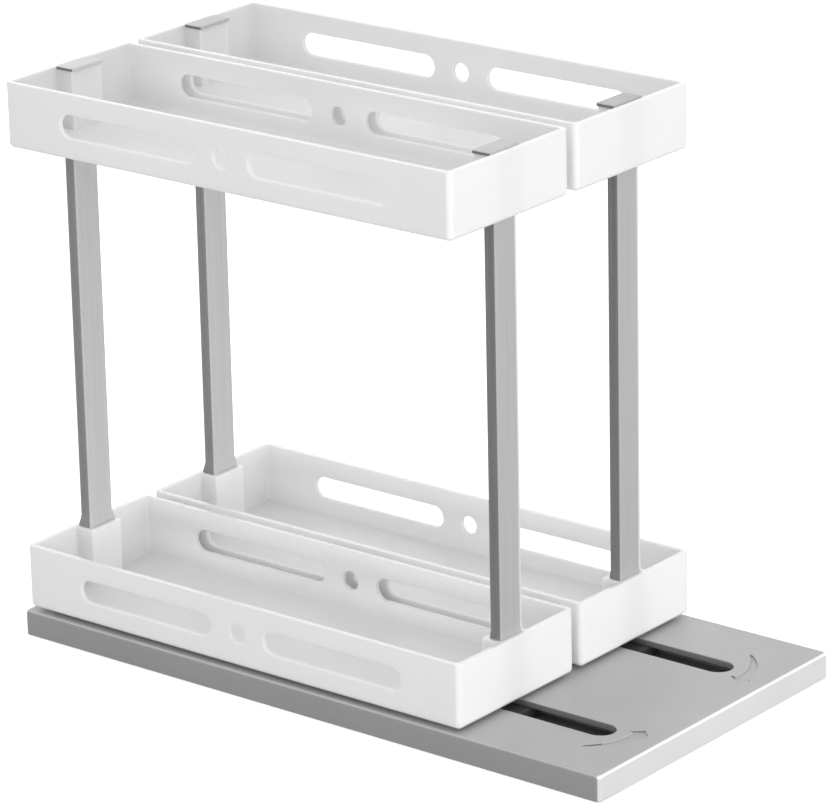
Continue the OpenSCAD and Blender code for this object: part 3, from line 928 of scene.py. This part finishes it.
place(base_mesh(), "base_moulding", "base_shell", "grey_plastic", 0.0, base_finish, base_looks)
place(base_screws_mesh(), "base_screw_heads", "base_screws", "screw_steel")
place(pads_mesh(), "base_pad_discs", "base_pads", "pad_rubber")
for side, sign in (("left", -1), ("right", 1)):
    shift = sign * RACK_X
    for tier, mesh, wall, outer_side, end, end_inside in trays:
        # The sides that face the gap between the racks and the bosses are painted light, rims and rounded
        # edges carry a painted highlight, and hole faces are painted light.
        plus_x, minus_x = (white_painted_light, outer_side) if side == "left" else (outer_side, white_painted_light)
        looks = {"wall": wall, "edge": white_painted_highlight, "boss": white_painted_light, "hole": white_hole_painted_light,
                 "plus_x": plus_x, "minus_x": minus_x, "end": end, "end_inside": end_inside}
        name = side + "_" + tier + "_tray"
        place(mesh, name + "_moulding", name, "white_plastic", shift, tray_finish, looks)
    for tier, mesh in screw_meshes.items():
        name = side + "_" + tier + "_screws"
        place(mesh, name + "_cross", name, "screw_steel", shift)
    place(glide_mesh, side + "_glide_discs", side + "_glides", "nylon", shift)
    for end, sense in (("front", -1), ("rear", 1)):
        name = side + "_" + end
        place(post_meshes[end], name + "_post_profile", name + "_post", "post_plastic", shift,
              post_finish, post_looks[end])
        cap_looks = {"top": cap_tops.get(name, cap_plastic), "end": cap_side_painted_shade}
        place(cap_mesh(name + "_cap", sense), name + "_cap_moulding", name + "_cap", "cap_plastic", 0.0,
              cap_finish, cap_looks)


# Floor, lamps, world and camera

FLOOR_TONE = 0.62
FLOOR_LIFT = 0.82
WORLD_LEVEL = 0.84


def floor():
    """Pale floor that looks white to the camera and keeps the object's shadow."""
    mesh = bpy.data.meshes.new("floor")
    half = 8.0
    corners = [(-half, -half, 0), (half, -half, 0), (half, half, 0), (-half, half, 0)]
    mesh.from_pydata(corners, [], [(0, 1, 2, 3)])
    obj = new_object("floor", mesh)
    material = bpy.data.materials.new("floor_white")
    material.use_nodes = True
    tree = material.node_tree
    tree.nodes.clear()
    out = tree.nodes.new("ShaderNodeOutputMaterial")
    diffuse = tree.nodes.new("ShaderNodeBsdfDiffuse")
    diffuse.inputs["Color"].default_value = (*grey(FLOOR_TONE), 1)
    glow = tree.nodes.new("ShaderNodeEmission")
    path = tree.nodes.new("ShaderNodeLightPath")
    level = tree.nodes.new("ShaderNodeMath")
    level.operation = "MULTIPLY"
    level.inputs[1].default_value = FLOOR_LIFT
    tree.links.new(path.outputs["Is Camera Ray"], level.inputs[0])
    tree.links.new(level.outputs[0], glow.inputs["Strength"])
    both = tree.nodes.new("ShaderNodeAddShader")
    tree.links.new(diffuse.outputs[0], both.inputs[0])
    tree.links.new(glow.outputs[0], both.inputs[1])
    tree.links.new(both.outputs[0], out.inputs["Surface"])
    mesh.materials.append(material)


def world():
    """Even white studio light from all sides."""
    made = bpy.data.worlds.new("studio")
    bpy.context.scene.world = made
    made.use_nodes = True
    tree = made.node_tree
    tree.nodes.clear()
    out = tree.nodes.new("ShaderNodeOutputWorld")
    light = tree.nodes.new("ShaderNodeBackground")
    light.inputs["Color"].default_value = (1, 1, 1, 1)
    light.inputs["Strength"].default_value = WORLD_LEVEL
    tree.links.new(light.outputs[0], out.inputs["Surface"])


def lamp(name, location, target, width, height, power):
    """Soft lamp at a place, turned to its target."""
    data = bpy.data.lights.new(name, "AREA")
    data.shape = "RECTANGLE"
    data.size = width
    data.size_y = height
    data.energy = power
    obj = new_object(name, data)
    obj.location = location
    obj.visible_camera = False
    aim = Vector(target) - Vector(location)
    obj.rotation_euler = aim.to_track_quat("-Z", "Y").to_euler()


def camera():
    """Camera at the photograph's viewing angle."""
    azimuth = math.radians(-51.13)
    elevation = math.radians(19.22)
    roll = math.radians(-1.235)
    distance = 1.8235
    target = Vector((-0.0018, -0.0018, 0.1028))
    level = math.cos(elevation)
    back = Vector((math.sin(azimuth) * level, -math.cos(azimuth) * level, math.sin(elevation)))
    flat_right = Vector((math.cos(azimuth), math.sin(azimuth), 0))
    flat_up = back.cross(flat_right)
    right = flat_right * math.cos(roll) + flat_up * math.sin(roll)
    up = back.cross(right)
    data = bpy.data.cameras.new("camera")
    data.sensor_width = 36
    data.lens = 212.5
    data.clip_start = 0.05
    data.clip_end = 50
    obj = new_object("camera", data)
    turn = Matrix((right, up, back)).transposed().to_4x4()
    obj.matrix_world = Matrix.Translation(target + back * distance) @ turn
    bpy.context.scene.camera = obj


bpy.context.scene.view_settings.view_transform = "Standard"
world()
floor()
middle = (0, 0, 0.1)
lamp("front", (-0.1, -1.8, 0.13), middle, 0.9, 0.22, 9.5)
lamp("side", (-1.7, -0.5, 0.13), middle, 0.9, 0.22, 3.6)
lamp("behind", (1.55, 1.25, 0.7), middle, 1.6, 0.9, 2.8)
camera()
